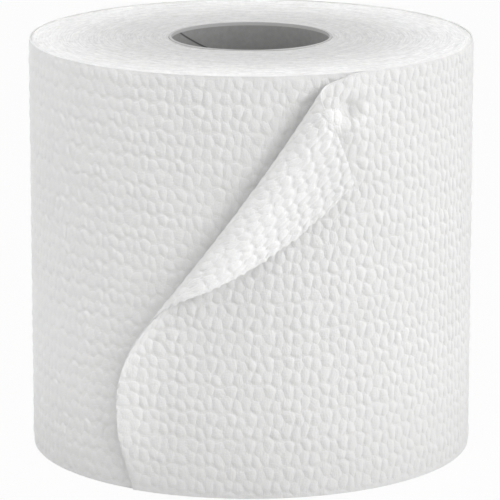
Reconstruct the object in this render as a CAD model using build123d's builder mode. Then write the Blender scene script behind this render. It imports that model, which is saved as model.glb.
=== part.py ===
from build123d import *
import os
from math import cos, radians, sin

# A toilet paper roll standing on end: a cardboard core and one long embossed sheet wound round it.
# The origin is on the core's axis in the plane the roll stands on. Lengths are in millimetres.

# Roll and core
roll_width = 101.6
roll_radius = 54.5
core_bore_radius = 19.4
core_wall = 0.6
glue_gap = 0.1

# Paper
sheet_thickness = 0.45
tail_slack = 0.15

# Spiral lines that the turns draw on the two ends
turn_line_spacing = 7.5
turn_line_width = 0.5
turn_line_depth = 0.45
turn_line_margin = 1.8

# Loose tail: angles are measured round the axis from the front, positive towards the right
tail_root_angle = 44.0
tail_strip_sweep = 8.0
tail_lap_relief = 0.04

# Free end of the tail, leaning left as it goes up to the foot of the fold
end_base_angle = -30.0
fold_foot_height = 26.0
fold_foot_angle = -34.2

# Fold: the corner has turned right over from the turn height up to the head
fold_turn_height = 51.0
fold_turn_angle = -12.6
fold_head_drop = 4.7
fold_head_angle = 19.4
fold_rim_angle = 27.0
curl_radius_foot = 4.5
curl_radius_head = 3.5
lip_turn = 8.0
full_turn = 202.0
rim_turn = 90.0

# Flap: the corner of the sheet that lies back over the tail
flap_tip_drop = 25.6
flap_tip_reach = 23.5
flap_least_reach = 0.4

# Levels at which the tail's outline is drawn, in each stage of the fold
leaning_levels = 2
opening_levels = 12
widening_levels = 3
narrowing_levels = 2
closing_levels = 4

front_angle = -90.0
fold_head_height = roll_width - fold_head_drop
flap_tip_height = roll_width - flap_tip_drop
core_radius = core_bore_radius + core_wall
paper_inner_radius = core_radius + glue_gap
winding_step = sheet_thickness + tail_slack
root_angle = front_angle + tail_root_angle

quarter_step = winding_step / 4
outer_radius = roll_radius - quarter_step
under_radius = outer_radius - winding_step / 2


def between(low, high, share):
    """Value at a share of the way from low to high."""
    return low + (high - low) * share


def along(height, *stations):
    """Value at a height on the straight runs between (height, value) stations."""
    for (low, start), (high, end) in zip(stations, stations[1:]):
        if height <= high:
            return between(start, end, (height - low) / (high - low))
    return stations[-1][1]


def fold_angle(height):
    """Angle at which the tail leaves the roll at a height."""
    return along(
        height,
        (0.0, end_base_angle),
        (fold_foot_height, fold_foot_angle),
        (fold_turn_height, fold_turn_angle),
        (fold_head_height, fold_head_angle),
        (roll_width, fold_rim_angle),
    )


def curl_turn(height):
    """How far the paper has turned over at a height, in degrees."""
    return along(
        height,
        (0.0, lip_turn),
        (fold_foot_height, lip_turn),
        (fold_turn_height, full_turn),
        (fold_head_height, full_turn),
        (roll_width, rim_turn),
    )


def curl_radius(height):
    """Radius of the curl's middle line at a height."""
    return along(
        height,
        (0.0, curl_radius_foot),
        (fold_foot_height, curl_radius_foot),
        (fold_head_height, curl_radius_head),
        (roll_width, curl_radius_head),
    )


def flap_reach(height):
    """Length of the flap beyond the curl at a height."""
    return along(
        height,
        (0.0, flap_least_reach),
        (fold_turn_height, flap_least_reach),
        (flap_tip_height, flap_tip_reach),
        (fold_head_height, flap_least_reach),
        (roll_width, flap_least_reach),
    )


def stage(low, high, levels):
    """Heights of the levels that divide one stage of the tail, without its top."""
    return [between(low, high, level / levels) for level in range(levels)]


def direction(angle):
    """Unit vector at an angle in the plane of the roll's end."""
    return Vector(cos(radians(angle)), sin(radians(angle)))


# Two centres a quarter step either side of the axis make the outer turn a smooth spiral
outer_centre = direction(root_angle) * quarter_step
under_centre = direction(root_angle) * -quarter_step


def turn_outline():
    """Spiral outline of the turns, with the root of the tail a step above the turn beneath."""
    outer_half = CenterArc(outer_centre, outer_radius, root_angle, 180.0)
    under_half = CenterArc(under_centre, under_radius, root_angle + 180.0, 180.0)
    strip_inside = CenterArc(under_centre, under_radius + tail_slack, root_angle, -tail_strip_sweep)
    strip_outside = CenterArc(under_centre, under_radius + winding_step, root_angle, -tail_strip_sweep)
    Line(under_half @ 1, strip_inside @ 0)
    Line(strip_inside @ 1, strip_outside @ 1)


def tail_outline(height):
    """Closed outline of the tail at a height: along the roll, round the curl and back along the flap."""
    inner = under_radius + tail_slack + tail_lap_relief
    outer = under_radius + winding_step - tail_lap_relief
    half = (outer - inner) / 2
    leave = front_angle + fold_angle(height)
    start = root_angle - tail_strip_sweep / 2
    middle = curl_radius(height)
    turn = curl_turn(height)
    reach = flap_reach(height)
    hub = under_centre + direction(leave) * (inner + half + middle)
    heading = direction(leave + turn - 90.0)
    along_roll_inside = CenterArc(under_centre, inner, leave, start - leave)
    curl_outside = CenterArc(hub, middle + half, leave + 180.0, turn)
    flap_outside = Line(curl_outside @ 1, curl_outside @ 1 + heading * reach)
    along_roll_outside = CenterArc(under_centre, outer, leave, start - leave)
    curl_inside = CenterArc(hub, middle - half, leave + 180.0, turn)
    flap_inside = Line(curl_inside @ 1, curl_inside @ 1 + heading * reach)
    Line(flap_outside @ 1, flap_inside @ 1)
    Line(along_roll_inside @ 1, along_roll_outside @ 1)


def turn_line_arcs():
    """Half circles about two centres that wind inwards anticlockwise, as the paper does."""
    half_step = turn_line_spacing / 2
    radius = roll_radius - winding_step - turn_line_margin - half_step / 2
    least = paper_inner_radius + turn_line_margin + half_step / 2
    side = 1
    start = 0.0
    while radius > least:
        CenterArc((side * half_step / 2, 0), radius, start, 180.0)
        radius = radius - half_step
        start = start + 180.0
        side = -side


def turn_line_groove():
    """V section of a turn line: its point lies the line's depth below the end face."""
    overlap = turn_line_depth / 2
    half_width = turn_line_width / 2 * (turn_line_depth + overlap) / turn_line_depth
    Polygon((-half_width, -overlap), (half_width, -overlap), (0, turn_line_depth), align=None)


tail_heights = (
    stage(0.0, fold_foot_height, leaning_levels)
    + stage(fold_foot_height, fold_turn_height, opening_levels)
    + stage(fold_turn_height, flap_tip_height, widening_levels)
    + stage(flap_tip_height, fold_head_height, narrowing_levels)
    + stage(fold_head_height, roll_width, closing_levels)
    + [roll_width]
)

# Cardboard core: a plain wound tube, cut flush with the paper at both ends
with BuildPart() as cardboard_core:
    with BuildSketch(Plane.XY):
        Circle(core_radius)
        Circle(core_bore_radius, mode=Mode.SUBTRACT)
    extrude(amount=roll_width)

cardboard_core.part.label = "cardboard_core"

# Wound paper: every turn is one long sheet, so the turns and the loose tail are one solid
with BuildPart() as wound_paper:

    # Turns: a spiral outline with a step where the last turn lifts off as the tail
    with BuildSketch(Plane.XY):
        with BuildLine():
            turn_outline()
        make_face()
        Circle(paper_inner_radius, mode=Mode.SUBTRACT)
    extrude(amount=roll_width)

    # Turn lines: a spiral groove on the lower end and on the upper end
    groove_start = roll_radius - winding_step - turn_line_margin
    for end_height, inward in ((0.0, 1), (roll_width, -1)):
        with BuildLine(Plane.XY.offset(end_height)):
            turn_line_arcs()
        with BuildSketch(Plane((groove_start, 0, end_height), x_dir=(-inward, 0, 0), z_dir=(0, 1, 0))):
            turn_line_groove()
        sweep(mode=Mode.SUBTRACT)

    # Tail: straight runs between level outlines, from the floor up to the rim
    for height in tail_heights:
        with BuildSketch(Plane.XY.offset(height)):
            with BuildLine():
                tail_outline(height)
            make_face()
    loft(ruled=True)

wound_paper.part.label = "wound_paper"

os.makedirs("parts", exist_ok=True)
export_step(cardboard_core.part, "parts/cardboard_core.step")
export_step(wound_paper.part, "parts/wound_paper.step")
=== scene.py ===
# %% [markdown]
# # A toilet paper roll with its corner folded back
#
# The real roll is one long web of two-ply tissue, embossed with small domes and wound on a grey
# board tube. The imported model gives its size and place. This scene adds what the hand and the
# eye look for: the domes, the perforated rows, the cut edges of a hundred turns, and the loose
# corner that curls over and lies back on itself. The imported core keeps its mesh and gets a
# material, and the plain packed paper gives way to the pieces made here.

import math

import bpy
import numpy as np
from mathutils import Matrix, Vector


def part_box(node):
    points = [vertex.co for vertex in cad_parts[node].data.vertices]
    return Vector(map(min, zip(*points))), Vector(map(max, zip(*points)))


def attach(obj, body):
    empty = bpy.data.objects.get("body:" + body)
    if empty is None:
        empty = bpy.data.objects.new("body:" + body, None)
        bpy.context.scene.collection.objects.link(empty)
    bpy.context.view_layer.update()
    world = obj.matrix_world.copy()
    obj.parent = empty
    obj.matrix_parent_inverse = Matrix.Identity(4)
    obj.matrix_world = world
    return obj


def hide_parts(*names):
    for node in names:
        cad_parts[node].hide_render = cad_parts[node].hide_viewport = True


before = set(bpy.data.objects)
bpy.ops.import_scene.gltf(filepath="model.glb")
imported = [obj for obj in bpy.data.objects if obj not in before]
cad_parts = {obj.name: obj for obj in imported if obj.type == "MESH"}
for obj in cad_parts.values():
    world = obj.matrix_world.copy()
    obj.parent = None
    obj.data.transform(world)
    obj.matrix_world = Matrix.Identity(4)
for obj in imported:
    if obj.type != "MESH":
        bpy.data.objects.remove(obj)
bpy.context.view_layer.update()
core_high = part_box("cardboard_core")[1]
print("packed nodes:", sorted(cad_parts), "core radius", round(core_high.x * 1000, 2), "mm")

# %% [markdown]
# ## Sizes
#
# Everything hangs on a few lengths. A point of the paper is named by where it lies in the flat
# web: how far round it is (0 at the front, growing to the right and on round the back) and how
# far up. The web spirals inwards, so its radius shrinks a little with every turn.

# %% Sizes of the roll and of its web
MM = 0.001
roll_width = core_high.z
roll_radius = 54.5 * MM
turn_step = 0.6 * MM
half_sheet = 0.15 * MM
turn_length = 2 * math.pi * roll_radius


def web_radius(round_way):
    """Radius of the middle of the outer turns: it falls by one turn step in each whole turn."""
    return roll_radius - half_sheet - turn_step * round_way / turn_length


def wrapped(round_way, up_way, radius):
    """Points on the roll: the way round becomes an angle at the roll's radius, the rest is kept."""
    angle = round_way / roll_radius
    return np.stack([radius * np.sin(angle), -radius * np.cos(angle), up_way + 0 * angle], -1)


print("web radius at the front", round(web_radius(0) * 1000, 2), "mm")

# %% [markdown]
# ## Embossed domes
#
# The web passes between steel rollers that press it into rows of plump little domes with narrow
# creases between them. A bump in the material could fake them, but the roll's outline and its
# edges would stay smooth, so they are real relief: a height for each point of the web.
#
# Four domes of different lean make one cell, and the cell repeats. A dome is the ground nearest
# to its own spine, a short leaning line, so the creases fall half way between spines, as in a
# Voronoi diagram. The height rises steeply from the crease and levels off like a pillow. Real
# paper is less even than its rollers, and slow waves give that.

# %% Slow waves
wave_count = 7
phase_range = 6.3


def slow_wave(round_way, up_way, seed, least, most):
    """Sum of plane waves of all headings, with lengths between least and most. Dividing it by the
    root of half their number gives it a spread of about 1."""
    chance = np.random.default_rng(seed)
    total = np.zeros(np.shape(round_way))
    for _ in range(wave_count):
        heading = chance.uniform(0, math.pi)
        turn = 2 * math.pi / chance.uniform(least, most)
        along = round_way * math.cos(heading) + up_way * math.sin(heading)
        total += np.cos(turn * along + chance.uniform(0, phase_range))
    return total / math.sqrt(wave_count / 2)


trial_round, trial_up = np.meshgrid(np.linspace(0, 100 * MM, 200), np.linspace(0, roll_width, 200))
trial = slow_wave(trial_round, trial_up, 1, 5 * MM, 14 * MM)
print("spread of a slow wave:", round(float(trial.std()), 2))

# %% Height of the embossing
cell_round = 4.59 * MM
cell_up = 6.70 * MM
pillow_width = 1.1 * MM
egg_radius = 1.40 * MM
# Each dome's spine: middle across, middle up, half length, and lean to the left in degrees
spines = (
    (1.58 * MM, 2.46 * MM, 0.25 * MM, -5),
    (3.43 * MM, 3.54 * MM, 0.62 * MM, 26),
    (2.48 * MM, 4.98 * MM, 0.57 * MM, 24),
    (4.32 * MM, 6.08 * MM, 0.30 * MM, 6),
)
wander = 0.22 * MM
wander_lengths = (5 * MM, 14 * MM)
height_spread = 0.22
height_lengths = (4 * MM, 20 * MM)
least_firmness = 0.3


def pressed(round_way, up_way):
    """Where each point of the web meets the pattern: the paper slips and gives under the rollers,
    so the domes wander a little from their rows."""
    x = round_way + wander * slow_wave(round_way, up_way, 1, *wander_lengths)
    y = up_way + wander * slow_wave(round_way, up_way, 2, *wander_lengths)
    return x, y


def embossing(round_way, up_way):
    """Dome height from 0 to 1. Half the gap between the nearest spine and the next gives the way
    in from the crease, or the way in from the rim of an egg round the spine if that is less. A
    falling parabola of it makes the pillow, and some domes are pressed less firmly than others."""
    x, y = pressed(round_way, up_way)
    nearest = np.full(np.shape(round_way), cell_up)
    second = nearest.copy()
    for across, up, half_length, lean in spines:
        lean_x, lean_y = -math.sin(math.radians(lean)), math.cos(math.radians(lean))
        dx = x - across
        dy = y - up
        dx = dx - cell_round * np.round(dx / cell_round)
        dy = dy - cell_up * np.round(dy / cell_up)
        along = np.clip(dx * lean_x + dy * lean_y, -half_length, half_length)
        gap = np.hypot(dx - along * lean_x, dy - along * lean_y)
        second = np.minimum(second, np.maximum(nearest, gap))
        nearest = np.minimum(nearest, gap)
    way_in = np.minimum((second - nearest) / 2, egg_radius - nearest)
    uneven = slow_wave(round_way, up_way, 3, *height_lengths)
    firmness = np.clip(1 - height_spread + height_spread * uneven, least_firmness, 1)
    return (1 - (1 - np.clip(way_in / pillow_width, 0, 1)) ** 2) * firmness


trial = embossing(*np.meshgrid(np.linspace(0, cell_round, 60), np.linspace(0, cell_up, 90)))
print("mean dome height, of 1:", round(float(trial.mean()), 2))

# %% [markdown]
# ## Thin closed plates
#
# Each sheet of the outer turns is its own piece, from one perforated row to the next. Its face
# needs a fine grid to carry the domes, and its hidden back doesn't. Blender's Solidify modifier
# would give both the same grid. So the plates are put together here: the back has every fourth
# point only, and one band of triangles round the rim closes the plate.

# %% Faces of a plate with a fine face and a coarse back
back_ratio = 4


def grid_faces(columns, rows, start, flipped):
    """Quads of a grid whose points are numbered row by row from start."""
    corner = (np.arange(rows)[:, None] * (columns + 1) + np.arange(columns)[None, :]).ravel() + start
    quad = np.stack([corner, corner + 1, corner + columns + 2, corner + columns + 1], -1)
    return quad[:, ::-1] if flipped else quad


def rim_loop(columns, rows, start):
    """Numbers of a grid's outer points, anticlockwise from its first corner."""
    number = np.arange((columns + 1) * (rows + 1)).reshape(rows + 1, columns + 1) + start
    return np.concatenate([number[0, :-1], number[:-1, -1], number[-1, :0:-1], number[:0:-1, 0]])


def rim_faces(fine, coarse):
    """Triangles between a fine loop and a coarse one: each coarse edge takes a fan at either end."""
    step = np.arange(len(coarse))
    here, there = coarse, np.roll(coarse, -1)
    fans = []
    for part in range(back_ratio):
        a = fine[(step * back_ratio + part) % len(fine)]
        b = fine[(step * back_ratio + part + 1) % len(fine)]
        fans.append(np.stack([a, here if part < back_ratio // 2 else there, b], -1))
    middle = fine[(step * back_ratio + back_ratio // 2) % len(fine)]
    fans.append(np.stack([middle, here, there], -1))
    return np.concatenate(fans)


trial = rim_faces(rim_loop(8, 8, 0), rim_loop(2, 2, 81))
print("a rim of 8 by 8 fine steps takes", len(trial), "triangles")

# %% Put a mesh or a plate into the scene
sharp_angle = math.radians(65)


def put_mesh(name, points, quads, triangles, flat):
    """Mesh object at the origin with smooth faces, sharp rims and the pressed web as its UV map."""
    mesh = bpy.data.meshes.new(name)
    mesh.from_pydata(points.reshape(-1, 3), [], quads.tolist() + triangles.tolist(), shade_flat=False)
    corner = np.empty(len(mesh.loops), np.int32)
    mesh.loops.foreach_get("vertex_index", corner)
    uv = mesh.uv_layers.new(name="pressed_web")
    uv.uv.foreach_set("vector", flat.reshape(-1, 2)[corner].astype(np.float32).ravel())
    mesh.set_sharp_from_angle(angle=sharp_angle)
    piece = bpy.data.objects.new(name, mesh)
    bpy.context.scene.collection.objects.link(piece)
    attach(piece, "root")
    print(name, "has", 2 * len(quads) + len(triangles), "triangles")
    return piece


def put_plate(name, face, back, flat):
    """Closed plate: face is a grid of points, back the same grid moved inwards, flat its web."""
    rows, columns = face.shape[0] - 1, face.shape[1] - 1
    coarse = back[::back_ratio, ::back_ratio]
    coarse_rows, coarse_columns = coarse.shape[0] - 1, coarse.shape[1] - 1
    count = face.shape[0] * face.shape[1]
    points = np.concatenate([face.reshape(-1, 3), coarse.reshape(-1, 3)])
    web = np.concatenate([flat.reshape(-1, 2), flat[::back_ratio, ::back_ratio].reshape(-1, 2)])
    quads = np.concatenate(
        [grid_faces(columns, rows, 0, False), grid_faces(coarse_columns, coarse_rows, count, True)]
    )
    band = rim_faces(rim_loop(columns, rows, 0), rim_loop(coarse_columns, coarse_rows, count))
    return put_mesh(name, points, quads, band, web)


print("rims stay sharp past", round(math.degrees(sharp_angle)), "degrees")

# %% [markdown]
# ## The outer sheets
#
# Counted back from the free end, a perforated row crosses the web every sheet length. The free
# end is such a row too, torn. The rows are weak lines of slits with small ties left between.
# Each sheet is a grid of points in the flat web, wrapped round the roll and raised by its
# relief. Handling has worn its domes a little.

# %% Relief of a sheet that lies on the roll
dome_height = 0.29 * MM
worn_share = 0.9
columns_per_cell = 12
grid_step = cell_round / columns_per_cell
slit_pitch = 2.0 * MM
slit_depth = 0.16 * MM
slit_slope = 7.0
slit_shift = 0.6
flush_reach = 1.2 * MM


def slit_marks(up_way):
    """1 along a slit and 0 at a tie, with short slopes between: the way from the middle of the tie,
    as a share of the pitch, times a slope and less a shift."""
    from_tie = np.abs(np.mod(up_way / slit_pitch, 1) - 0.5)
    return np.clip(slit_slope * from_tie - slit_shift, 0, 1)


def flush_ends(up_way):
    """1 in the middle of the web and 0 at its cut ends, where the saw has pressed the domes flat."""
    inwards = np.minimum(up_way, roll_width - up_way) / flush_reach
    return 1 - (1 - np.clip(inwards, 0, 1)) ** 2


def relief(round_way, up_way, first, last):
    """Dome height, worn down a little by handling, with dents where slits run along either end."""
    edge = np.minimum(round_way - first, last - round_way)
    near = np.clip(1 - edge / grid_step, 0, 1)
    domes = worn_share * dome_height * embossing(round_way, up_way) * flush_ends(up_way)
    return domes - slit_depth * near * slit_marks(up_way)


print("one grid step:", round(grid_step * 1000, 2), "mm, dome height:", round(dome_height * 1000, 2), "mm")

# %% Sheets that lie on the roll
sheet_columns = 248
sheet_rows = 256
hidden_columns = 76
sheet_length = sheet_columns * grid_step
free_end = -28.8 * MM


def lying_sheet(name, first, columns):
    """A sheet that lies on the turn beneath, from the row at first over so many columns."""
    last = first + columns * grid_step
    round_way, up_way = np.meshgrid(
        np.linspace(first, last, columns + 1), np.linspace(0, roll_width, sheet_rows + 1)
    )
    middle = web_radius(round_way)
    face = wrapped(round_way, up_way, middle + half_sheet + relief(round_way, up_way, first, last))
    back = wrapped(round_way, up_way, middle - half_sheet)
    return put_plate(name, face, back, np.stack(pressed(round_way, up_way), -1))


perforations = [free_end + sheet_length * number for number in range(1, 5)]
side_sheets = [
    lying_sheet(f"sheet_{number + 2}", perforations[number], sheet_columns) for number in range(3)
]
side_sheets.append(lying_sheet("sheet_5", perforations[3], hidden_columns))
lap_end = perforations[3] + hidden_columns * grid_step
print("sheet length", round(sheet_length * 1000, 1), "mm")

# %% [markdown]
# ## The folded corner
#
# The first sheet is loose. Its upper left corner has turned over along a slanting line, so its
# reverse lies on the face. Cloth simulation could drape it, but it would fall as it likes, and
# this corner has to lie as the photograph shows it. Paper bends without stretching, so the fold
# is worked out in the flat web: points past the fold line run up round a curl, and what is left
# over lies back as a flap. The curl bends most at the fold line and eases off from there. It is
# wide at the foot of the line and tight at its head.

# %% The fold line
fold_foot = (-29.05 * MM, 28.31 * MM)
fold_lean = math.radians(55.64)
fold_length = 80 * MM
fold_bow = -0.17 * MM
share_range = (-0.3, 1.2)
corner_sag = 3.1 * MM
sag_end = 27 * MM
sag_fade = 15 * MM


def smooth(value):
    """0 below 0, 1 above 1, and an easy S between."""
    value = np.clip(value, 0, 1)
    return value * value * (3 - 2 * value)


def past_fold(round_way, up_way):
    """Each flat point's way along the fold line, its way past the line, its share of the line's
    length and the line's bow there, a parabola of the share. The corner sags before it folds, by
    the fourth power of its height."""
    sagging = smooth((sag_end - round_way) / sag_fade) * np.clip(up_way / roll_width, 0, 1) ** 4
    x, y = round_way - fold_foot[0], up_way - corner_sag * sagging - fold_foot[1]
    along = x * math.cos(fold_lean) + y * math.sin(fold_lean)
    past = y * math.cos(fold_lean) - x * math.sin(fold_lean)
    share = np.clip(along / fold_length, *share_range)
    bow = fold_bow * 4 * share * (1 - share)
    return along, past - bow, share, bow


fold_height = fold_foot[1] + fold_length * math.sin(fold_lean)
print("the fold line climbs to", round(fold_height * 1000, 1), "mm")

# %% The curl and the flap
curl_lengths = (26.0 * MM, 14.0 * MM, 12.0 * MM)
least_curl = 3 * MM
curl_ease = 1.82
gauss_points = 12
flap_dip = (math.radians(67.6), math.radians(1.6))
fold_lift = 1.0 * MM
lift_fade = 10 * MM


def curl(part, whole_turn):
    """Where a share of the curl's length has got to, across and up, for a curl one unit long.
    The bend is tight at first and eases off: the angle turned is the whole turn times one minus
    a power of what is left. Its cosine and sine are summed by Gauss's rule."""
    points, weights = np.polynomial.legendre.leggauss(gauss_points)
    across = np.zeros(np.shape(part))
    up = np.zeros(np.shape(part))
    for point, weight in zip((points + 1) / 2, weights / 2):
        heading = whole_turn * (1 - (1 - part * point) ** curl_ease)
        across += weight * part * np.cos(heading)
        up += weight * part * np.sin(heading)
    return across, up


def folded(round_way, up_way):
    """Where flat points end up: their way round, way up and rise above the roll. The curl's length
    is a parabola through its three lengths, at the foot, half way and at the head. The paper
    lifts off a little just before it reaches the line."""
    along, past, share, bow = past_fold(round_way, up_way)
    foot, waist, head = curl_lengths
    length = foot * (1 - share) * (1 - 2 * share) + waist * 4 * share * (1 - share)
    length = np.maximum(length + head * share * (2 * share - 1), least_curl)
    whole_turn = math.pi + flap_dip[0] + (flap_dip[1] - flap_dip[0]) * share
    over, up = curl(np.clip(past / length, 0, 1), whole_turn)
    flap = np.maximum(past - length, 0)
    across = np.where(past < 0, past, length * over + flap * np.cos(whole_turn)) + bow
    rise = np.where(past < 0, 0, length * up + flap * np.sin(whole_turn))
    return (
        fold_foot[0] + along * math.cos(fold_lean) - across * math.sin(fold_lean),
        fold_foot[1] + along * math.sin(fold_lean) + across * math.cos(fold_lean),
        rise + fold_lift * smooth(past / lift_fade + 1),
    )


trial = curl(np.linspace(0, 1, 50), math.pi + sum(flap_dip) / 2)[1]
print("half way up the fold the curl rises", round(float(trial.max()) * curl_lengths[1] * 1000, 1), "mm")

# %% The torn end
end_heights = np.array([0.0, 25.0, 50.0, 75.0, 101.6]) * MM
end_places = np.array([-29.3, -31.6, -22.5, -18.95, -9.55]) * MM
tear_depth = 0.22 * MM
tear_lengths = (2 * MM, 8 * MM)
tuft_length = 0.35 * MM
clean_share = 0.2
ragged_from = 38 * MM
ragged_fade = 14 * MM


def through(heights, places, height):
    """Natural cubic spline through the places: its bending is nil at both ends."""
    step = np.diff(heights)
    count = len(heights)
    system = np.eye(count)
    pull = np.zeros(count)
    for k in range(1, count - 1):
        system[k, k - 1 : k + 2] = step[k - 1], 2 * (step[k - 1] + step[k]), step[k]
        pull[k] = 6 * ((places[k + 1] - places[k]) / step[k] - (places[k] - places[k - 1]) / step[k - 1])
    bend = np.linalg.solve(system, pull)
    run = np.clip(np.searchsorted(heights, height, side="right") - 1, 0, count - 2)
    up, down = height - heights[run], heights[run + 1] - height
    length = step[run]
    return (
        (bend[run] * down**3 + bend[run + 1] * up**3) / (6 * length)
        + (places[run] / length - bend[run] * length / 6) * down
        + (places[run + 1] / length - bend[run + 1] * length / 6) * up
    )


def torn(up_way):
    """How far a torn row strays: it wanders, and each tie between two slits leaves a tuft. The
    lower part tore cleanly, and the corner that was tugged did not."""
    ragged = clean_share + (1 - clean_share) * smooth((up_way - ragged_from) / ragged_fade)
    stray = tear_depth * slow_wave(0 * up_way, up_way, 5, *tear_lengths)
    return ragged * (stray - tuft_length * (1 - slit_marks(up_way)))


def first_sheet_grid():
    """Flat points of the first sheet, from its torn end to the first perforated row."""
    share, up_way = np.meshgrid(
        np.linspace(0, 1, sheet_columns + 1), np.linspace(0, roll_width, sheet_rows + 1)
    )
    end = through(end_heights, end_places, up_way) + torn(up_way)
    return end + (perforations[0] - end) * share, up_way


round_way, up_way = first_sheet_grid()
print("first sheet's upper edge:", round(float(np.ptp(round_way[-1])) * 1000, 1), "mm long")

# %% The lip and the crumples
lip_rise = 2.0 * MM
lip_reach = 12 * MM
lip_top = 46 * MM
lip_fade = 16 * MM
lip_at_floor = 0.15
# Crumples by the curl's mouth: way round, way up, radius and height, less than 0 in a dent
crumples = (
    (22.5 * MM, 91.0 * MM, 5.0 * MM, 1.4 * MM),
    (22.9 * MM, 93.2 * MM, 2.1 * MM, -2.2 * MM),
    (21.4 * MM, 89.6 * MM, 1.4 * MM, 0.45 * MM),
    (24.6 * MM, 89.8 * MM, 1.4 * MM, 0.5 * MM),
)
crumple_fade = 3 * MM


def end_lip(round_way, up_way):
    """Rise of the loose end below the fold: a parabola that starts one reach in from the end. It
    fades out towards the fold, and most of the way out towards the floor."""
    inwards = (round_way - round_way[:, :1]) / lip_reach
    below = smooth((lip_top - up_way) / lip_fade) * smooth(lip_at_floor + up_way / lip_fade)
    return lip_rise * np.clip(1 - inwards, 0, 1) ** 2 * below


def crumpling(round_way, up_way, past):
    """Rise of the crumples: a sum of round bell curves, faded out where the paper turns over."""
    rise = 0
    for across, up, radius, height in crumples:
        rise = rise + height * np.exp(-((round_way - across) ** 2 + (up_way - up) ** 2) / (2 * radius**2))
    return rise * smooth(1 - past / crumple_fade)


place, height, rise = folded(round_way, up_way)
past = past_fold(round_way, up_way)[1]
rise = rise + end_lip(round_way, up_way) + crumpling(round_way, up_way, past)
print("curl rises", round(float(rise.max()) * 1000, 1), "mm")

# %% Both plies of the first sheet
crush_round, crush_up = -0.50, 0.15
crush_from = 2 * MM
torn_margin = 1.4 * MM
drawn_loss = 0.35
drawn_until = 14 * MM
drawn_fade = 6 * MM
reverse_from = -1 * MM
reverse_fade = 3 * MM
ply_gap = 0.02 * MM


def surface_normals(points):
    """Unit normals of a grid of points: the cross product of its two directions."""
    normal = np.cross(np.gradient(points, axis=1), np.gradient(points, axis=0))
    return normal / np.linalg.norm(normal, axis=-1, keepdims=True)


middle = wrapped(place, height, web_radius(place) + rise)
normal = surface_normals(middle)
# The folded corner is crushed a little, so past the curl its domes lie closer together
crushed = np.maximum(past - crush_from, 0)
crushed_way = round_way + crush_round * crushed
crushed_up = up_way + crush_up * crushed
flat = np.stack(pressed(crushed_way, crushed_up), -1)
# The domes are pulled flat at the torn end. On the reverse they stand lower near the fold line,
# where the paper is drawn tight, and they aren't needed where it faces the roll
from_end = np.clip(1 - (round_way - round_way[:, :1]) / torn_margin, 0, 1)
face_relief = dome_height * embossing(crushed_way, crushed_up) * flush_ends(up_way) * (1 - from_end**2)
drawn = 1 - drawn_loss * smooth((drawn_until - past) / drawn_fade)
back_relief = face_relief * smooth((past - reverse_from) / reverse_fade) * drawn
outer_face = middle + normal * (half_sheet + face_relief)[..., None]
inner_face = middle - normal * (half_sheet + back_relief)[..., None]
outer_ply = put_plate("first_sheet_outer_ply", outer_face, middle + normal * ply_gap, flat)
inner_ply = put_plate(
    "first_sheet_inner_ply", inner_face[:, ::-1], (middle - normal * ply_gap)[:, ::-1], flat[:, ::-1]
)

# %% [markdown]
# ## The turns beneath
#
# Under the outer sheets the roll is solid paper to the eye. Its two ends show the cut edges of
# about a hundred turns. They are not level: packs of turns stand a little proud or shy of
# their neighbours. A hundred separate turns would take far too many faces, so the body is one
# profile carried round the axis. Its outer edge follows the spiral, with one step where the web
# laps itself, and the single edges are left to the material.

# %% Body of the wound turns
body_columns = 600
end_rings = 72
core_clearance = 0.1 * MM
sheet_clearance = 0.03 * MM
bore_radius = core_high.x + core_clearance
end_unevenness = 0.10 * MM
end_waves = 26
end_wave_lengths = (1.2 * MM, 6.0 * MM)
end_wave_drift = 5
sink_limit = 2.2


def end_sink(radius, angle, seed):
    """How far the turns' edges lie below the cut. Waves across the turns, which drift slowly round,
    are summed, divided by the root of their number and kept within a limit. The limit is added,
    so that no edge stands above the cut."""
    chance = np.random.default_rng(seed)
    sink = np.zeros_like(radius)
    for _ in range(end_waves):
        length = chance.uniform(*end_wave_lengths)
        drift = chance.integers(-end_wave_drift, end_wave_drift + 1)
        sink += np.cos(2 * math.pi * radius / length + drift * angle + chance.uniform(0, phase_range))
    return end_unevenness * (sink_limit + np.clip(sink / math.sqrt(end_waves), -sink_limit, sink_limit))


def wound_body():
    """Closed body: bore, lower end, outer spiral and upper end, carried round from lap to lap."""
    lap = lap_end - turn_length
    round_way = np.linspace(lap, lap_end, body_columns + 1)[None, :]
    outer = web_radius(round_way) - half_sheet - sheet_clearance
    share = np.linspace(0, 1, end_rings + 1)[:, None]
    radius = bore_radius + (outer - bore_radius) * share
    angle = round_way / roll_radius + 0 * share
    low = end_sink(radius, angle, 3)
    high = roll_width - end_sink(radius, angle, 7)
    radii = np.concatenate([radius, radius[::-1]])
    heights = np.concatenate([low, high[::-1]])
    points = wrapped(round_way + 0 * radii, heights, radii)
    return points, np.stack([round_way + 0 * radii, heights], -1)


points, flat = wound_body()
ring_count = points.shape[0]
quads = grid_faces(body_columns, ring_count - 1, 0, False)
number = np.arange(points[..., 0].size).reshape(ring_count, body_columns + 1)
bore = np.stack([number[-1, :-1], number[-1, 1:], number[0, 1:], number[0, :-1]], -1)
lap_wall = np.stack([number[:-1, 0], number[1:, 0], number[1:, -1], number[:-1, -1]], -1)
no_triangles = np.empty((0, 3), int)
body = put_mesh("wound_turns", points, np.concatenate([quads, bore, lap_wall]), no_triangles, flat)

# %% [markdown]
# ## Paper
#
# Tissue is matt and almost white. Its look comes from the domes, and close up from crepe lines
# and loose fibres. Those are too fine for the mesh, so a small bump gives them. The web was
# scraped off its drying drum by a blade, which leaves fine folds from edge to edge of the web,
# so they run up the roll. The reverse is the drum side, with the folds standing sharper, and its
# colour is painted whiter than the face: a painted glow for light that shines through the thin
# tissue of the curled corner. Both sides use the same two node groups, one for the fibres and one
# for the creases.

# %% Helpers for materials


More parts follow.
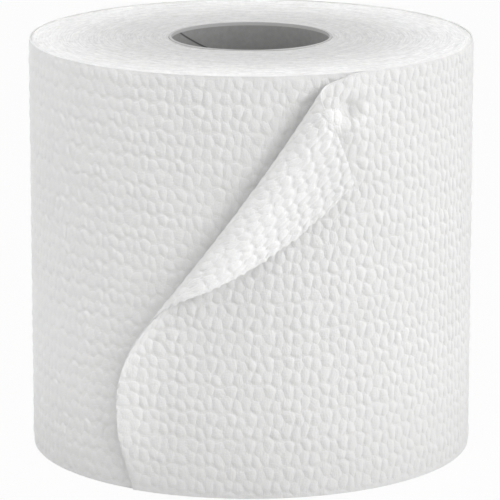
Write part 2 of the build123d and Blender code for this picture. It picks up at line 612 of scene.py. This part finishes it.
def new_material(name):
    """Material with its node tree, and its nodes, links and Principled shader at hand."""
    material = bpy.data.materials.new(name)
    material.use_nodes = True
    tree = material.node_tree
    return material, tree.nodes, tree.links, tree.nodes["Principled BSDF"]


def add_node(nodes, kind, **settings):
    """Node with its properties set, and its sockets where a setting names one."""
    node = nodes.new(kind)
    for key, value in settings.items():
        if hasattr(node, key):
            setattr(node, key, value)
        else:
            node.inputs[key.replace("_", " ")].default_value = value
    return node


def calc(tree, operation, *values, clamp=False):
    """Math node fed by numbers or by other nodes' outputs. Gives back its own output."""
    node = tree.nodes.new("ShaderNodeMath")
    node.operation = operation
    node.use_clamp = clamp
    for socket, value in zip(node.inputs, values):
        if isinstance(value, (int, float)):
            socket.default_value = value
        else:
            tree.links.new(value, socket)
    return node.outputs["Value"]


def new_group(name, *outputs):
    """Shader node group that takes a place and gives out these numbers, with its two ends."""
    group = bpy.data.node_groups.new(name, "ShaderNodeTree")
    group.interface.new_socket("Place", in_out="INPUT", socket_type="NodeSocketVector")
    for output in outputs:
        group.interface.new_socket(output, in_out="OUTPUT", socket_type="NodeSocketFloat")
    return group, group.nodes.new("NodeGroupInput"), group.nodes.new("NodeGroupOutput")


helpers = (new_material, add_node, calc, new_group)
print("helpers for materials:", [helper.__name__ for helper in helpers])

# %% Fibre group: fine height and a faint tone
crepe_scale = (2600, 600, 1000)
lint_scale = 2600.0
cloud_scale = 90.0


def fibre_group():
    """Crepe lines are a noise that changes fast round the web and slowly up it, lint is a finer
    even one, and their sum is the height. The tone is a wide, cloudy noise."""
    group, start, end = new_group("tissue_fibres", "Height", "Tone")
    nodes, links = group.nodes, group.links
    stretch = add_node(nodes, "ShaderNodeMapping", Scale=crepe_scale)
    crepe = add_node(nodes, "ShaderNodeTexNoise", Scale=1.0, Detail=3.0, Roughness=0.6)
    lint = add_node(nodes, "ShaderNodeTexNoise", Scale=lint_scale, Detail=2.0, Roughness=0.5)
    cloud = add_node(nodes, "ShaderNodeTexNoise", Scale=cloud_scale, Detail=3.0, Roughness=0.5)
    links.new(start.outputs["Place"], stretch.inputs["Vector"])
    links.new(stretch.outputs["Vector"], crepe.inputs["Vector"])
    links.new(start.outputs["Place"], lint.inputs["Vector"])
    links.new(start.outputs["Place"], cloud.inputs["Vector"])
    links.new(calc(group, "ADD", crepe.outputs["Fac"], lint.outputs["Fac"]), end.inputs["Height"])
    links.new(cloud.outputs["Fac"], end.inputs["Tone"])
    return group


fibres = fibre_group()
print(fibres.name, "has", len(fibres.nodes), "nodes")

# %% Crease group: the way in from the nearest crease
fraying = 0.8 * MM
fray_scale = 1400.0


def crease_group():
    """The embossing's own sum, done in the shader: the same spines, so the creases fall in the
    mesh's hollows, but as fine as the eye can see. A noise shifts each point a little first, since
    fibres don't follow the roller's edges truly."""
    group, start, end = new_group("dome_creases", "Way In")
    nodes, links = group.nodes, group.links

    def vector(operation, *values, scale=None, out="Vector"):
        """Vector Math node fed by vectors or by other nodes' outputs. Gives back its own output."""
        node = add_node(nodes, "ShaderNodeVectorMath", operation=operation)
        for socket, value in zip(node.inputs, values):
            if isinstance(value, tuple):
                socket.default_value = value
            else:
                links.new(value, socket)
        if scale is not None:
            links.new(scale, node.inputs["Scale"])
        return node.outputs[out]

    noise = add_node(nodes, "ShaderNodeTexNoise", Scale=fray_scale, Detail=2.0, Roughness=0.6)
    links.new(start.outputs["Place"], noise.inputs["Vector"])
    reach = (fraying, fraying, 0)
    frayed = vector("MULTIPLY_ADD", noise.outputs["Color"], reach, start.outputs["Place"])
    half_cell = (cell_round / 2, cell_up / 2, 1)
    nearest, second = cell_up, cell_up
    for across, up, half_length, lean in spines:
        heading = (-math.sin(math.radians(lean)), math.cos(math.radians(lean)), 0)
        off = vector("SUBTRACT", frayed, (across + fraying / 2, up + fraying / 2, 0))
        off = vector("WRAP", off, half_cell, tuple(-half for half in half_cell))
        along = vector("DOT_PRODUCT", off, heading, out="Value")
        along = calc(group, "MAXIMUM", calc(group, "MINIMUM", along, half_length), -half_length)
        gap = vector("DISTANCE", off, vector("SCALE", heading, scale=along), out="Value")
        second = calc(group, "MINIMUM", second, calc(group, "MAXIMUM", nearest, gap))
        nearest = calc(group, "MINIMUM", nearest, gap)
    between = calc(group, "MULTIPLY", calc(group, "SUBTRACT", second, nearest), 0.5)
    way_in = calc(group, "MINIMUM", between, calc(group, "SUBTRACT", egg_radius, nearest))
    links.new(calc(group, "MAXIMUM", way_in, 0.0), end.inputs["Way In"])
    return group


creases = crease_group()
print(creases.name, "has", len(creases.nodes), "nodes")

# %% Embossed tissue
paper_white = (0.86, 0.86, 0.855, 1)
paper_shade = (0.82, 0.82, 0.815, 1)
# The reverse's tones are whiter than the face's: the extra white is a painted glow for light that shines
# through the thin curled tissue.
glowing_reverse_white = (0.96, 0.96, 0.955, 1)
glowing_reverse_tone = (0.93, 0.93, 0.925, 1)
crease_width = 0.17 * MM
crease_depth = 0.072 * MM
grip_scale = 420.0
grip_range = (0.3, 0.7)
groove_range = (-0.4, -1.2)


def set_range(node, source, target):
    """Give a Map Range node the range that comes in and the range that goes out."""
    node.inputs["From Min"].default_value, node.inputs["From Max"].default_value = source
    node.inputs["To Min"].default_value, node.inputs["To Max"].default_value = target


def two_tones(nodes, links, share, first, second):
    """Mix node between two colours, of which the first may be another node's output. Gives back
    its own output."""
    mix = add_node(nodes, "ShaderNodeMix", data_type="RGBA")
    if isinstance(first, tuple):
        mix.inputs["A"].default_value = first
    else:
        links.new(first, mix.inputs["A"])
    mix.inputs["B"].default_value = second
    links.new(share, mix.inputs["Factor"])
    return mix.outputs["Result"]


def tissue(name, shade, white, crepe_height):
    """Matt white tissue. The crease is a groove that fades with the way in from it, and comes and
    goes with a slow noise. Crepe and lint are a second, finer bump over it."""
    material, nodes, links, shader = new_material(name)
    tree = material.node_tree
    shader.inputs["Roughness"].default_value = 0.95
    shader.inputs["Specular IOR Level"].default_value = 0.15
    web = add_node(nodes, "ShaderNodeUVMap", uv_map="pressed_web")
    pattern = add_node(nodes, "ShaderNodeGroup", node_tree=creases)
    fuzz = add_node(nodes, "ShaderNodeGroup", node_tree=fibres)
    grip = add_node(nodes, "ShaderNodeTexNoise", Scale=grip_scale, Detail=1.0, Roughness=0.5)
    depth = nodes.new("ShaderNodeMapRange")
    set_range(depth, grip_range, groove_range)
    groove = add_node(nodes, "ShaderNodeBump", Strength=1.0, Distance=crease_depth)
    bump = add_node(nodes, "ShaderNodeBump", Strength=0.5, Distance=crepe_height)
    for taker in (grip.inputs["Vector"], pattern.inputs["Place"], fuzz.inputs["Place"]):
        links.new(web.outputs["UV"], taker)
    links.new(grip.outputs["Fac"], depth.inputs["Value"])
    fade = calc(tree, "EXPONENT", calc(tree, "MULTIPLY", pattern.outputs["Way In"], -1 / crease_width))
    links.new(calc(tree, "MULTIPLY", fade, depth.outputs["Result"]), groove.inputs["Height"])
    links.new(fuzz.outputs["Height"], bump.inputs["Height"])
    links.new(groove.outputs["Normal"], bump.inputs["Normal"])
    links.new(bump.outputs["Normal"], shader.inputs["Normal"])
    colour = two_tones(nodes, links, fuzz.outputs["Tone"], shade, white)
    links.new(colour, shader.inputs["Base Color"])
    return material


paper = tissue("tissue", paper_shade, paper_white, 0.20 * MM)
# The reverse's whiter tones carry a painted glow for light shining through the curled tissue.
reverse = tissue("tissue_reverse", glowing_reverse_tone, glowing_reverse_white, 0.30 * MM)
inner_ply.data.materials.append(reverse)
for piece in [*side_sheets, outer_ply]:
    piece.data.materials.append(paper)
print("tissue on", len(side_sheets) + 2, "pieces")

# %% [markdown]
# ## Cut ends
#
# A saw cuts the wound log into rolls, so each end shows every turn as a fine ring. The rings are
# fuzzy and break off, because soft plies lean over one another. Even rings from the radius alone
# would look turned on a lathe. So these are a noise that is drawn out round the axis: it changes
# fast with the radius and slowly with the place. Light sinks in between the plies, so many rings
# are greyer than the face of the paper.

# %% Tissue seen on its cut edges
end_white = (0.95, 0.95, 0.946, 1)
end_grey = (0.73, 0.73, 0.726, 1)
ply_pitch = 0.34 * MM
arc_length = 5 * MM
lump_scale = 700.0
ring_part, lump_part = 0.6, 0.4
tone_range = (0.32, 0.62)
fuzz_height = 0.3 * MM


def cut_ends():
    """Rings of plies: a noise read at the place over a long arc and, on its third axis, at the
    radius over the short ply pitch. Mixed with even lumps, it gives the tone and the bump."""
    material, nodes, links, shader = new_material("cut_tissue")
    tree = material.node_tree
    shader.inputs["Roughness"].default_value = 1.0
    shader.inputs["Specular IOR Level"].default_value = 0.05
    place = nodes.new("ShaderNodeTexCoord")
    parts = nodes.new("ShaderNodeSeparateXYZ")
    links.new(place.outputs["Object"], parts.inputs["Vector"])
    x, y = parts.outputs["X"], parts.outputs["Y"]
    squares = calc(tree, "ADD", calc(tree, "MULTIPLY", x, x), calc(tree, "MULTIPLY", y, y))
    ringed = nodes.new("ShaderNodeCombineXYZ")
    links.new(calc(tree, "MULTIPLY", x, 1 / arc_length), ringed.inputs["X"])
    links.new(calc(tree, "MULTIPLY", y, 1 / arc_length), ringed.inputs["Y"])
    links.new(calc(tree, "MULTIPLY", calc(tree, "SQRT", squares), 1 / ply_pitch), ringed.inputs["Z"])
    rings = add_node(nodes, "ShaderNodeTexNoise", Scale=1.0, Detail=2.0, Roughness=0.6)
    lumps = add_node(nodes, "ShaderNodeTexNoise", Scale=lump_scale, Detail=3.0, Roughness=0.6)
    links.new(ringed.outputs["Vector"], rings.inputs["Vector"])
    links.new(place.outputs["Object"], lumps.inputs["Vector"])
    lumpy = calc(tree, "MULTIPLY", lumps.outputs["Fac"], lump_part)
    mixed = calc(tree, "MULTIPLY_ADD", rings.outputs["Fac"], ring_part, lumpy)
    share = nodes.new("ShaderNodeMapRange")
    set_range(share, tone_range, (0, 1))
    links.new(mixed, share.inputs["Value"])
    bump = add_node(nodes, "ShaderNodeBump", Strength=0.5, Distance=fuzz_height)
    links.new(mixed, bump.inputs["Height"])
    links.new(bump.outputs["Normal"], shader.inputs["Normal"])
    colour = two_tones(nodes, links, share.outputs["Result"], end_grey, end_white)
    links.new(colour, shader.inputs["Base Color"])
    return material


body.data.materials.append(cut_ends())
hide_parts("wound_paper")
print("rings on the cut ends:", round((roll_radius - bore_radius) / ply_pitch))

# %% [markdown]
# ## Board
#
# The core is spirally wound from strips of recycled grey board, so a seam runs round it like a
# screw thread. The seam is a groove no wider than a pencil line, so it isn't cut into the mesh:
# a dark line of painted shade stands in for it. The lip within its depth of either end is paler.

# %% Grey board core
seam_pitch = 63.4 * MM
seam_start = math.radians(158)
seam_half_width = 0.22 * MM
seam_edge = 1.6
lip_depth = 0.8 * MM
lip_slope = 6
board_grey = (0.40, 0.40, 0.397, 1)
board_fleck = (0.47, 0.47, 0.466, 1)
# Painted shade: the dark line stands in for the shadow in the seam's groove.
seam_painted_shade = (0.15, 0.15, 0.149, 1)
lip_pale = (0.70, 0.70, 0.695, 1)
fleck_scale = 700.0
fleck_contrast = 2.5
fleck_height = 0.1 * MM


def board():
    """Grey board with flecks. The seam is where the height less its share of the screw's pitch is
    a whole number of pitches, and the lip is whatever lies within its depth of either end. Both
    have soft edges, from a slope that is clamped."""
    material, nodes, links, shader = new_material("grey_board")
    tree = material.node_tree
    shader.inputs["Roughness"].default_value = 0.9
    shader.inputs["Specular IOR Level"].default_value = 0.2
    place = nodes.new("ShaderNodeTexCoord")
    parts = nodes.new("ShaderNodeSeparateXYZ")
    links.new(place.outputs["Object"], parts.inputs["Vector"])
    x, y, z = parts.outputs["X"], parts.outputs["Y"], parts.outputs["Z"]
    whole_turn = 2 * math.pi
    angle = calc(tree, "ARCTAN2", y, x)
    turned = calc(tree, "MULTIPLY_ADD", angle, 1 / whole_turn, -seam_start / whole_turn)
    climbed = calc(tree, "MULTIPLY_ADD", z, 1 / seam_pitch, -roll_width / seam_pitch)
    off_seam = calc(tree, "ABSOLUTE", calc(tree, "WRAP", calc(tree, "SUBTRACT", climbed, turned), 0.5, -0.5))
    on_seam = calc(tree, "MULTIPLY_ADD", off_seam, -seam_pitch / seam_half_width, seam_edge, clamp=True)
    from_end = calc(tree, "MINIMUM", z, calc(tree, "SUBTRACT", roll_width, z))
    on_lip = calc(tree, "MULTIPLY_ADD", from_end, -lip_slope / lip_depth, lip_slope + 0.5, clamp=True)
    flecks = add_node(nodes, "ShaderNodeTexNoise", Scale=fleck_scale, Detail=4.0, Roughness=0.6)
    links.new(place.outputs["Object"], flecks.inputs["Vector"])
    fleck_floor = (1 - fleck_contrast) / 2
    flecked = calc(tree, "MULTIPLY_ADD", flecks.outputs["Fac"], fleck_contrast, fleck_floor, clamp=True)
    colour = two_tones(nodes, links, flecked, board_grey, board_fleck)
    # The seam's dark line is painted shade for its groove.
    colour = two_tones(nodes, links, on_seam, colour, seam_painted_shade)
    colour = two_tones(nodes, links, on_lip, colour, lip_pale)
    bump = add_node(nodes, "ShaderNodeBump", Strength=0.3, Distance=fleck_height)
    links.new(flecks.outputs["Fac"], bump.inputs["Height"])
    links.new(colour, shader.inputs["Base Color"])
    links.new(bump.outputs["Normal"], shader.inputs["Normal"])
    return material


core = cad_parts["cardboard_core"]
core.data.materials.clear()
core.data.materials.append(board())
print("core material:", core.data.materials[0].name)

# %% [markdown]
# ## Floor, light and camera
#
# The photograph has a plain white ground. To the camera the floor is mostly its own white, and a
# share of real shadow is kept. The light is soft and comes from all round, but every strip of the
# roll is a little brighter on the upper right of its domes. No single lamp does that on a round
# object, so a ring of weak narrow lamps stands round it, and a few soft lamps set how bright each
# side is.

# %% Floor
floor_grey = (0.7, 0.7, 0.7, 1)
plain_share = 0.95
floor_reach = 3
floor_corners = [(x * floor_reach, y * floor_reach, 0) for x, y in ((-1, -1), (1, -1), (1, 1), (-1, 1))]
floor_mesh = bpy.data.meshes.new("floor")
floor_mesh.from_pydata(floor_corners, [], [(0, 1, 2, 3)])
floor = bpy.data.objects.new("floor", floor_mesh)
bpy.context.scene.collection.objects.link(floor)


def white_ground():
    """White floor: straight to the camera, or to it through gloss or glass, it is the plain share
    of white and for the rest lit floor. To everything else it is lit floor only."""
    material, nodes, links, shader = new_material("white_ground")
    tree = material.node_tree
    shader.inputs["Base Color"].default_value = floor_grey
    shader.inputs["Roughness"].default_value = 1.0
    shader.inputs["Specular IOR Level"].default_value = 0.0
    glow = add_node(nodes, "ShaderNodeEmission", Strength=1.0)
    path = nodes.new("ShaderNodeLightPath")
    direct_or_glossy = calc(
        tree, "MAXIMUM", path.outputs["Is Camera Ray"], path.outputs["Is Glossy Ray"]
    )
    any_view = calc(tree, "MAXIMUM", direct_or_glossy, path.outputs["Is Transmission Ray"])
    mix = nodes.new("ShaderNodeMixShader")
    links.new(calc(tree, "MULTIPLY", any_view, plain_share), mix.inputs["Fac"])
    links.new(shader.outputs["BSDF"], mix.inputs[1])
    links.new(glow.outputs["Emission"], mix.inputs[2])
    links.new(mix.outputs["Shader"], nodes["Material Output"].inputs["Surface"])
    return material


floor_mesh.materials.append(white_ground())
print("floor material:", floor_mesh.materials[0].name)

# %% World
ambient_strength = 0.655


def soft_world():
    """Plain white to the camera, and a weaker even light on everything else."""
    world = bpy.data.worlds.new("soft_world")
    bpy.context.scene.world = world
    world.use_nodes = True
    nodes, links = world.node_tree.nodes, world.node_tree.links
    light = nodes["Background"]
    light.inputs["Strength"].default_value = ambient_strength
    light.inputs["Color"].default_value = (1, 1, 1, 1)
    ground = add_node(nodes, "ShaderNodeBackground", Strength=1.0)
    ground.inputs["Color"].default_value = (1, 1, 1, 1)
    path = nodes.new("ShaderNodeLightPath")
    mix = nodes.new("ShaderNodeMixShader")
    links.new(path.outputs["Is Camera Ray"], mix.inputs["Fac"])
    links.new(light.outputs["Background"], mix.inputs[1])
    links.new(ground.outputs["Background"], mix.inputs[2])
    links.new(mix.outputs["Shader"], nodes["World Output"].inputs["Surface"])


soft_world()
print("world:", bpy.context.scene.world.name, "at strength", ambient_strength)

# %% Ring of narrow lamps
middle_of_roll = (0, 0, roll_width / 2)
beam_count = 24
beam_distance = 0.30
beam_lift = math.radians(28)
beam_power = 0.00122
beam_offset = 50 * MM
beam_width = 22 * MM
beam_height = 106 * MM
beam_spread = math.radians(8)


def soft_lamp(name, place, target, size, power):
    """Square lamp of a size, aimed from its place at a target."""
    data = bpy.data.lights.new(name, "AREA")
    data.size = size
    data.energy = power
    lamp = bpy.data.objects.new(name, data)
    bpy.context.scene.collection.objects.link(lamp)
    lamp.location = place
    lamp.rotation_euler = (Vector(target) - Vector(place)).to_track_quat("-Z", "Y").to_euler()
    return lamp


def beam_ring():
    """Ring of narrow lamps round the roll. Each one shines down on the strip of paper to the left
    of its own heading, so every part of the roll is lit from its upper right."""
    for number in range(beam_count):
        azimuth = 2 * math.pi * number / beam_count
        out = Vector((math.sin(azimuth), -math.cos(azimuth), 0))
        side = Vector((math.cos(azimuth), math.sin(azimuth), 0))
        aim = Vector(middle_of_roll) - side * beam_offset
        place = aim + (out * math.cos(beam_lift) + Vector((0, 0, math.sin(beam_lift)))) * beam_distance
        lamp = soft_lamp(f"beam_{number}", place, aim, beam_width, beam_power)
        lamp.data.shape = "RECTANGLE"
        lamp.data.size_y = beam_height
        lamp.data.spread = beam_spread


beam_ring()
print("beams:", beam_count, "of", beam_power, "W")

# %% Soft lamps
lamp_size = 0.4


def from_side(azimuth, elevation):
    """Place one metre off, seen from the roll at an azimuth to the right and an elevation."""
    azimuth, elevation = math.radians(azimuth), math.radians(elevation)
    level = math.cos(elevation)
    return (math.sin(azimuth) * level, -math.cos(azimuth) * level, math.sin(elevation) + roll_width / 2)


for name, azimuth, elevation, power in (
    ("right_lamp", 90, 10, 1.1),
    ("half_right_lamp", 40, 10, 1.4),
    ("left_lamp", -90, 12, 0.95),
    ("top_lamp", 0, 85, 0.8),
):
    soft_lamp(name, from_side(azimuth, elevation), middle_of_roll, lamp_size, power)
    print(name, "at", azimuth, "degrees round and", elevation, "up:", power, "W")

# %% Camera, fitted to the roll's outline in the photograph
camera_data = bpy.data.cameras.new("camera")
camera_data.lens = 273.15
camera_data.sensor_width = 36
camera_data.shift_x = -0.001
camera = bpy.data.objects.new("camera", camera_data)
bpy.context.scene.collection.objects.link(camera)
camera.location = (0, -0.9156, 0.26383)
camera.rotation_euler = (math.radians(76.72), 0, 0)
bpy.context.scene.camera = camera
bpy.context.scene.view_settings.view_transform = "Standard"
print("camera distance", round(camera.location.length, 3), "m")
